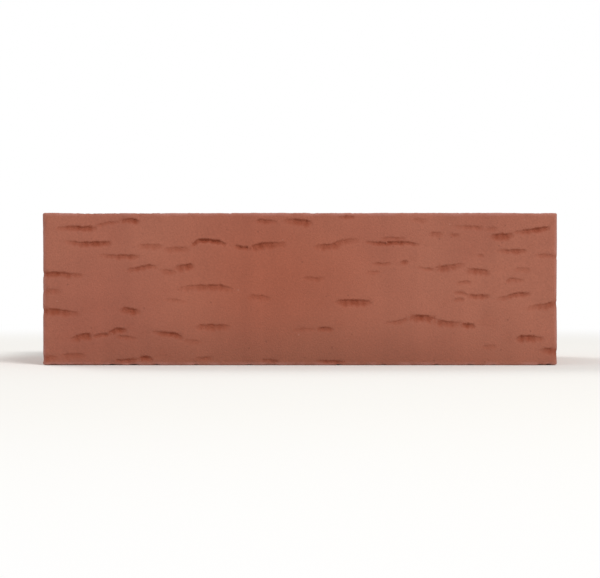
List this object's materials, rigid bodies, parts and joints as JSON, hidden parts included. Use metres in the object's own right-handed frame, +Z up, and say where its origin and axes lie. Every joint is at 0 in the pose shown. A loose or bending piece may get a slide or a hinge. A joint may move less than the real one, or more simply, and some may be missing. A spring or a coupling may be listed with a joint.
{
  "type": "clay brick",
  "caption": "Fired clay facing brick: torn, grained upright faces, flat wire-cut beds and staggered rows of slot cores running from bed to bed.",
  "frame": {"origin": "middle of the lower bed face", "axes": "+X along the stretcher face, +Y through the wall from the weather face at -Y to the back, +Z up from bed to bed"},
  "size_m": [0.24, 0.115, 0.071],
  "materials": {
    "fired_clay": "matt, unglazed, with a torn grain"
  },
  "bodies": {
    "root": {"brick": "fired_clay"}
  },
  "joints": []
}
